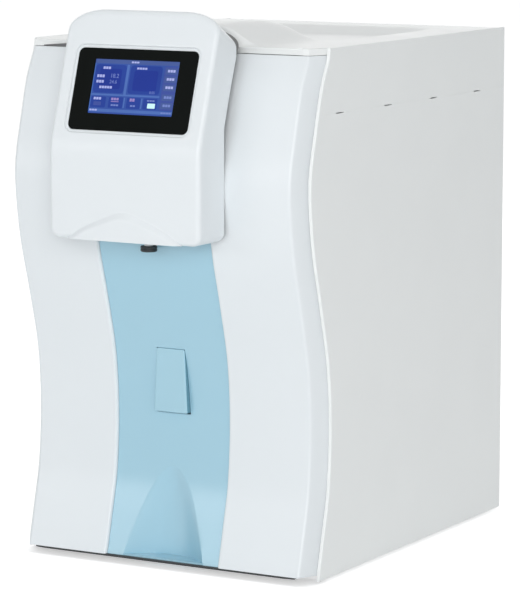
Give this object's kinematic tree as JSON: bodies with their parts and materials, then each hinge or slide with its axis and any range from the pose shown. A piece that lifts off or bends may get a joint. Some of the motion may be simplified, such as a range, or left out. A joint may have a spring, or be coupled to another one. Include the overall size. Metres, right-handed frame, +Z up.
{
  "type": "pure water purification system",
  "caption": "Bench-top water purification unit with an S-shaped white front, a pale blue centre strip, a tilted touch screen head, a dispense nozzle and a push lever.",
  "frame": {"origin": "on the bench under the middle of the whole outline, seen from above", "axes": "+Z up; +X to the right of someone facing the screen; -Y towards them"},
  "size_m": [0.338, 0.493, 0.554],
  "materials": {
    "white_shell": "satin white moulding",
    "pale_blue": "satin pale blue moulding",
    "side_enamel": "light grey powder coat, fine grain",
    "chassis_steel": "plain sheet",
    "light_metal": "thin-walled metal case",
    "bright_steel": "polished steel",
    "black_bezel": "glossy black",
    "screen": "lit blue screen",
    "circuit_board": "green solder mask",
    "dark_plastic": "moulded dark grey",
    "white_fitting": "white fitting",
    "filter_white": "semi-matt housing",
    "clear_tube": "milky flexible tube",
    "black_rubber": "black, matt"
  },
  "bodies": {
    "cabinet": {"left_wing": "white_shell", "right_wing": "white_shell", "top_cover": "white_shell", "head_shell": "white_shell", "centre_panel": "pale_blue", "left_side_panel": "side_enamel", "right_side_panel": "side_enamel", "rear_panel": "side_enamel", "base_pan": "chassis_steel", "front_bulkhead": "chassis_steel", "head_arm": "chassis_steel", "lever_bracket": "chassis_steel", "cartridge_rack": "chassis_steel", "pump_motor": "chassis_steel", "power_supply": "light_metal", "uv_lamp_chamber": "light_metal", "lever_pivot_pin": "bright_steel", "lever_spring": "bright_steel", "display_bezel": "black_bezel", "lcd_panel": "screen", "display_board": "circuit_board", "control_board": "circuit_board", "head_back_plate": "dark_plastic", "outlet_nozzle": "dark_plastic", "dispense_switch": "dark_plastic", "pump_head": "dark_plastic", "inlet_valve": "dark_plastic", "flush_valve": "dark_plastic", "mains_inlet": "dark_plastic", "switch_housing": "dark_plastic", "nozzle_elbow": "white_fitting", "feed_port": "white_fitting", "drain_port": "white_fitting", "sediment_cartridge": "filter_white", "carbon_cartridge": "filter_white", "ro_membrane_housing": "filter_white", "polishing_column_1": "filter_white", "polishing_column_2": "filter_white", "final_filter": "filter_white", "sediment_feed_tube": "clear_tube", "membrane_feed_tube": "clear_tube", "pump_feed_tube": "clear_tube", "filter_feed_tube": "clear_tube", "permeate_tube": "clear_tube", "carbon_feed_tube": "clear_tube", "lamp_feed_tube": "clear_tube", "polishing_tube": "clear_tube", "nozzle_tube": "clear_tube", "drain_tube": "clear_tube", "foot_front_left": "black_rubber", "foot_front_right": "black_rubber", "foot_rear_left": "black_rubber", "foot_rear_right": "black_rubber", "display_cable": "black_rubber", "board_cable": "black_rubber", "mains_cable": "black_rubber"},
    "lever": {"dispense_lever": "pale_blue"},
    "plunger": {"switch_plunger": "white_fitting"},
    "rocker": {"power_rocker": "dark_plastic"}
  },
  "joints": [
    {"name": "lever_hinge", "type": "hinge", "parent": "cabinet", "child": "lever", "pos_m": [0, -0.14681, 0.214], "axis": [1, 0, 0], "range_deg": [0, 6.2], "stiffness_Nm_per_rad": 0.05, "springref_deg": -28.65},
    {"name": "plunger_slide", "type": "slide", "parent": "cabinet", "child": "plunger", "axis": [0, 1, 0], "range_m": [0, 0.00152]},
    {"name": "rocker_hinge", "type": "hinge", "parent": "cabinet", "child": "rocker", "pos_m": [0.1, 0.2328, 0.113], "axis": [-1, 0, 0], "range_deg": [0, 18]}
  ],
  "couplings": [
    {"joint": "plunger_slide", "follows": "lever_hinge", "m_per_rad": 0.014}
  ]
}
